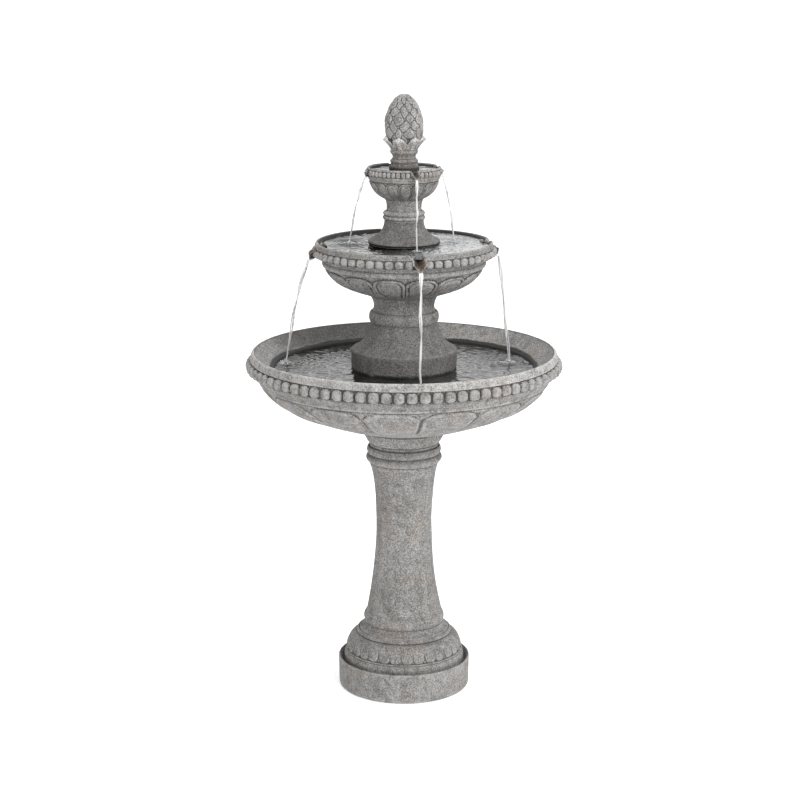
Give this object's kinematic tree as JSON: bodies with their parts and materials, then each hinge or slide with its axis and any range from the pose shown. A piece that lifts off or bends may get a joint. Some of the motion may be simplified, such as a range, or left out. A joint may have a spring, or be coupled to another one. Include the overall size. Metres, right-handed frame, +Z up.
{
  "type": "tiered water fountain",
  "caption": "Free-standing garden fountain: stacked bowls on a pedestal column, beaded rims with spouts, pine cone finial, pump and hoses inside.",
  "frame": {"origin": "on the ground, under the middle of the plinth", "axes": "+Z up along the column; front is -Y, +X to the viewer's right"},
  "size_m": [0.7088, 0.7088, 1.3512],
  "materials": {
    "cast_stone": "matte, finely pitted, grey-brown",
    "spout_stone": "wet, dark",
    "black_plastic": "satin",
    "black_rubber": "matte",
    "ferrite": "dull",
    "ceramic": "polished"
  },
  "bodies": {
    "base": {"base_plinth": "cast_stone"},
    "foot": {"foot": "cast_stone"},
    "column": {"column": "cast_stone"},
    "bottom_bowl": {"bottom_bowl": "cast_stone", "cord_stopper": "black_rubber", "pump_casing": "black_plastic", "cord_gland": "black_rubber", "pump_volute": "black_plastic", "impeller_cover": "black_plastic", "pump_shaft": "ceramic", "rear_bush": "black_rubber", "front_bush": "black_rubber", "outlet_adapter": "black_plastic", "suction_cup_1": "black_rubber", "suction_cup_2": "black_rubber", "suction_cup_3": "black_rubber", "suction_cup_4": "black_rubber"},
    "lower_riser": {"lower_riser": "cast_stone"},
    "middle_bowl": {"middle_bowl": "cast_stone", "middle_fitting": "black_plastic", "middle_gasket": "black_rubber", "middle_locknut": "black_plastic", "lower_hose": "black_rubber", "middle_spout_1": "spout_stone", "middle_spout_2": "spout_stone", "middle_spout_3": "spout_stone", "middle_spout_4": "spout_stone"},
    "upper_riser": {"upper_riser": "cast_stone"},
    "top_bowl": {"top_bowl": "cast_stone", "top_fitting": "black_plastic", "top_gasket": "black_rubber", "top_locknut": "black_plastic", "upper_hose": "black_rubber", "top_spout_1": "spout_stone", "top_spout_2": "spout_stone", "top_spout_3": "spout_stone", "top_spout_4": "spout_stone"},
    "finial": {"finial": "cast_stone"},
    "pump_cover": {"pump_front_cover": "black_plastic"},
    "flow_dial": {"flow_dial": "black_plastic"},
    "rotor": {"impeller": "black_plastic", "rotor_magnet": "ferrite"}
  },
  "joints": [
    {"name": "foot_lift", "type": "slide", "parent": "base", "child": "foot", "axis": [0, 0, 1], "range_m": [0, 0.04]},
    {"name": "column_lift", "type": "slide", "parent": "foot", "child": "column", "axis": [0, 0, 1], "range_m": [0, 0.06]},
    {"name": "bottom_bowl_lift", "type": "slide", "parent": "column", "child": "bottom_bowl", "axis": [0, 0, 1], "range_m": [0, 0.06]},
    {"name": "lower_riser_lift", "type": "slide", "parent": "bottom_bowl", "child": "lower_riser", "axis": [0, 0, 1], "range_m": [0, 0.15]},
    {"name": "middle_bowl_lift", "type": "slide", "parent": "lower_riser", "child": "middle_bowl", "axis": [0, 0, 1], "range_m": [0, 0.2]},
    {"name": "upper_riser_lift", "type": "slide", "parent": "middle_bowl", "child": "upper_riser", "axis": [0, 0, 1], "range_m": [0, 0.08]},
    {"name": "top_bowl_lift", "type": "slide", "parent": "upper_riser", "child": "top_bowl", "axis": [0, 0, 1], "range_m": [0, 0.18]},
    {"name": "finial_lift", "type": "slide", "parent": "top_bowl", "child": "finial", "axis": [0, 0, 1], "range_m": [0, 0.05]},
    {"name": "pump_cover_pull", "type": "slide", "parent": "bottom_bowl", "child": "pump_cover", "axis": [0, -1, 0], "range_m": [0, 0.03]},
    {"name": "flow_dial_turn", "type": "hinge", "parent": "pump_cover", "child": "flow_dial", "pos_m": [0, -0.034, 0.668], "axis": [0, -1, 0], "range_deg": [0, 90]},
    {"name": "impeller_spin", "type": "hinge", "parent": "bottom_bowl", "child": "rotor", "pos_m": [0, 0, 0.668], "axis": [0, -1, 0], "continuous": true}
  ]
}
